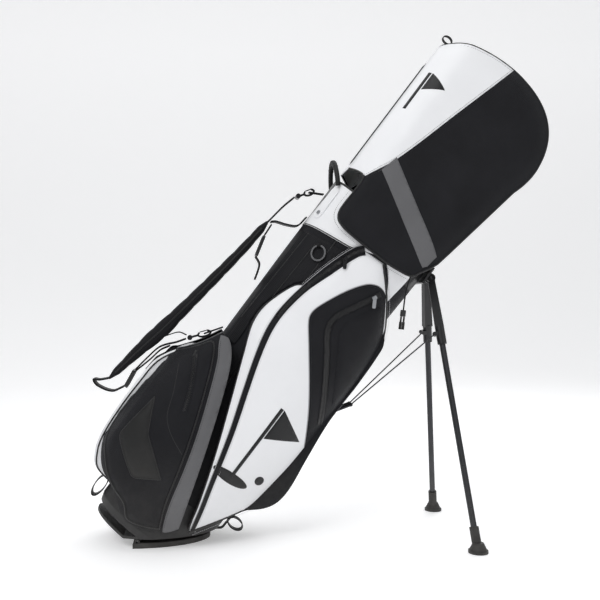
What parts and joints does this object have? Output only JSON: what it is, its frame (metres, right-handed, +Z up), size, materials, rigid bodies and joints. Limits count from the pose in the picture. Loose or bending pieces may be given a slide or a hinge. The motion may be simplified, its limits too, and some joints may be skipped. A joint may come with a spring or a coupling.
{
  "type": "golf stand bag",
  "caption": "Golf bag leaning on its fold-out legs and rocker foot, with a rain hood snapped over the mouth, side pockets, a shoulder strap and a grab handle.",
  "frame": {"origin": "bottom centre of the whole object's bounding box, on the floor", "axes": "+Z up, the longest extent; +X from the shoulder-strap side to the legs, so the bag leans towards +X; +Y across the bag, the shortest extent"},
  "size_m": [1.0817, 0.408, 1.2046],
  "materials": {
    "shell_black": "coated woven polyester, matt",
    "shell_white": "coated woven polyester, matt white",
    "liner": "plain lining cloth",
    "pad_fabric": "quilted mesh over foam",
    "webbing": "ribbed webbing",
    "base_plastic": "moulded, fine grain",
    "cuff_plastic": "moulded, satin",
    "grip_rubber": "soft moulded",
    "foot_rubber": "ribbed moulded",
    "leg_metal": "black anodised",
    "wire_steel": "bright drawn wire",
    "steel_pin": "bright",
    "hook_metal": "gloss black lacquer",
    "zip_metal": "silver-grey cast",
    "stay_rod": "glass-fibre rod",
    "cord_black": "braided elastic",
    "tab_white": "coated tab"
  },
  "bodies": {
    "bag": {"base_cup": "base_plastic", "rocker_pin": "steel_pin", "body_strap_panel": "shell_black", "body_near_panel": "shell_white", "body_far_panel": "shell_white", "body_spine_panel": "shell_black", "cuff_ring": "cuff_plastic", "divider_top": "cuff_plastic", "divider_sleeves": "liner", "stay_rods": "stay_rod", "grab_handle": "grip_rubber", "handle_tabs": "tab_white", "handle_rivets": "steel_pin", "leg_yoke": "cuff_plastic", "leg_hinge_pins": "steel_pin", "rod_guides": "base_plastic", "near_apparel_pocket": "shell_white", "far_apparel_pocket": "shell_white", "near_lower_pocket": "shell_black", "far_lower_pocket": "shell_black", "ball_pocket": "shell_white", "shoulder_pad": "pad_fabric", "strap_webbing": "webbing", "strap_adjusters": "hook_metal", "upper_strap_hook": "hook_metal", "lower_strap_hook": "hook_metal", "strap_anchor_loops": "webbing", "towel_tab": "webbing", "base_webbing_loop": "webbing", "umbrella_loop": "webbing"},
    "hood": {"hood_shell": "shell_white", "hood_zip": "zip_metal", "hood_loop": "webbing", "hood_cord": "cord_black", "cord_lock": "cuff_plastic", "cord_ends": "cuff_plastic"},
    "near_leg": {"near_leg_bracket": "cuff_plastic", "near_leg_tube": "leg_metal", "near_leg_foot": "foot_rubber"},
    "far_leg": {"far_leg_bracket": "cuff_plastic", "far_leg_tube": "leg_metal", "far_leg_foot": "foot_rubber"},
    "near_bow": {"near_bow_arm": "wire_steel"},
    "far_bow": {"far_bow_arm": "wire_steel"},
    "bow_carriage": {"bow_slider": "cuff_plastic", "push_rod": "wire_steel"},
    "rocker": {"rocker_foot": "foot_rubber"},
    "upper_gate": {"upper_hook_gate": "hook_metal"},
    "lower_gate": {"lower_hook_gate": "hook_metal"},
    "towel_hoop": {"towel_ring": "steel_pin"},
    "near_side_zip_carriage": {"near_side_zip_slider": "zip_metal"},
    "near_side_zip_tab": {"near_side_zip_pull": "zip_metal"},
    "near_front_zip_carriage": {"near_front_zip_slider": "zip_metal"},
    "near_front_zip_tab": {"near_front_zip_pull": "zip_metal"},
    "far_side_zip_carriage": {"far_side_zip_slider": "zip_metal"},
    "far_side_zip_tab": {"far_side_zip_pull": "zip_metal"},
    "far_front_zip_carriage": {"far_front_zip_slider": "zip_metal"},
    "far_front_zip_tab": {"far_front_zip_pull": "zip_metal"}
  },
  "joints": [
    {"name": "near_leg_fold", "type": "hinge", "parent": "bag", "child": "near_leg", "pos_m": [0.26891, -0.024, 0.61002], "axis": [0.2443, 0.9445, -0.2196], "range_deg": [0, 45.32]},
    {"name": "far_leg_fold", "type": "hinge", "parent": "bag", "child": "far_leg", "pos_m": [0.26891, 0.024, 0.61002], "axis": [-0.2443, 0.9445, 0.2196], "range_deg": [0, 45.32]},
    {"name": "near_bow_swing", "type": "hinge", "parent": "near_leg", "child": "near_bow", "pos_m": [0.26862, -0.05444, 0.47878], "axis": [-0.2649, -0.9476, 0.1788], "range_deg": [0, 61.44]},
    {"name": "far_bow_swing", "type": "hinge", "parent": "far_leg", "child": "far_bow", "pos_m": [0.26862, 0.05444, 0.47878], "axis": [0.2649, -0.9476, -0.1788], "range_deg": [0, 61.44]},
    {"name": "bow_carriage_slide", "type": "slide", "parent": "bag", "child": "bow_carriage", "axis": [-0.6373, 0, -0.7706], "range_m": [0, 0.05485]},
    {"name": "rocker_tilt", "type": "hinge", "parent": "bag", "child": "rocker", "pos_m": [-0.42565, 0, 0.014], "axis": [0, 1, 0], "range_deg": [0, 37]},
    {"name": "hood_lift", "type": "slide", "parent": "bag", "child": "hood", "axis": [0.6018, 0, 0.7986], "range_m": [0, 0.3]},
    {"name": "upper_gate_swing", "type": "hinge", "parent": "bag", "child": "upper_gate", "pos_m": [-0.03208, 0, 0.82212], "axis": [0, 1, 0], "range_deg": [0, 15], "stiffness_Nm_per_rad": 0.004, "springref_deg": -11.46},
    {"name": "lower_gate_swing", "type": "hinge", "parent": "bag", "child": "lower_gate", "pos_m": [-0.28475, 0, 0.48382], "axis": [0, 1, 0], "range_deg": [0, 15], "stiffness_Nm_per_rad": 0.004, "springref_deg": -11.46},
    {"name": "towel_ring_swing", "type": "hinge", "parent": "bag", "child": "towel_hoop", "pos_m": [-0.01286, -0.0952, 0.68452], "axis": [-0.9236, 0.3834, 0], "range_deg": [0, 90]},
    {"name": "near_side_zip_run", "type": "slide", "parent": "bag", "child": "near_side_zip_carriage", "axis": [-0.8148, -0.0665, -0.5759], "range_m": [0, 0.055]},
    {"name": "near_side_zip_tab_swing", "type": "hinge", "parent": "near_side_zip_carriage", "child": "near_side_zip_tab", "pos_m": [0.0422, -0.1357, 0.65314], "axis": [-0.9933, 0, 0.1153], "range_deg": [0, 120]},
    {"name": "near_front_zip_run", "type": "slide", "parent": "bag", "child": "near_front_zip_carriage", "axis": [-0.8784, -0.2554, -0.404], "range_m": [0, 0.055]},
    {"name": "near_front_zip_tab_swing", "type": "hinge", "parent": "near_front_zip_carriage", "child": "near_front_zip_tab", "pos_m": [0.1096, -0.1327, 0.56479], "axis": [-0.9939, 0, 0.1106], "range_deg": [0, 120]},
    {"name": "far_side_zip_run", "type": "slide", "parent": "bag", "child": "far_side_zip_carriage", "axis": [-0.8148, 0.0665, -0.5759], "range_m": [0, 0.055]},
    {"name": "far_side_zip_tab_swing", "type": "hinge", "parent": "far_side_zip_carriage", "child": "far_side_zip_tab", "pos_m": [0.0422, 0.1357, 0.65314], "axis": [0.9933, 0, -0.1153], "range_deg": [0, 120]},
    {"name": "far_front_zip_run", "type": "slide", "parent": "bag", "child": "far_front_zip_carriage", "axis": [-0.8784, 0.2554, -0.404], "range_m": [0, 0.055]},
    {"name": "far_front_zip_tab_swing", "type": "hinge", "parent": "far_front_zip_carriage", "child": "far_front_zip_tab", "pos_m": [0.1096, 0.1327, 0.56479], "axis": [0.9939, 0, -0.1106], "range_deg": [0, 120]}
  ],
  "couplings": [
    {"joint": "far_leg_fold", "follows": "near_leg_fold", "ratio": 1},
    {"joint": "near_bow_swing", "follows": "near_leg_fold", "ratio": 1.3557},
    {"joint": "far_bow_swing", "follows": "near_leg_fold", "ratio": 1.3557},
    {"joint": "rocker_tilt", "follows": "near_leg_fold", "ratio": 0.81644},
    {"joint": "bow_carriage_slide", "follows": "near_leg_fold", "m_per_rad": 0.069349}
  ]
}
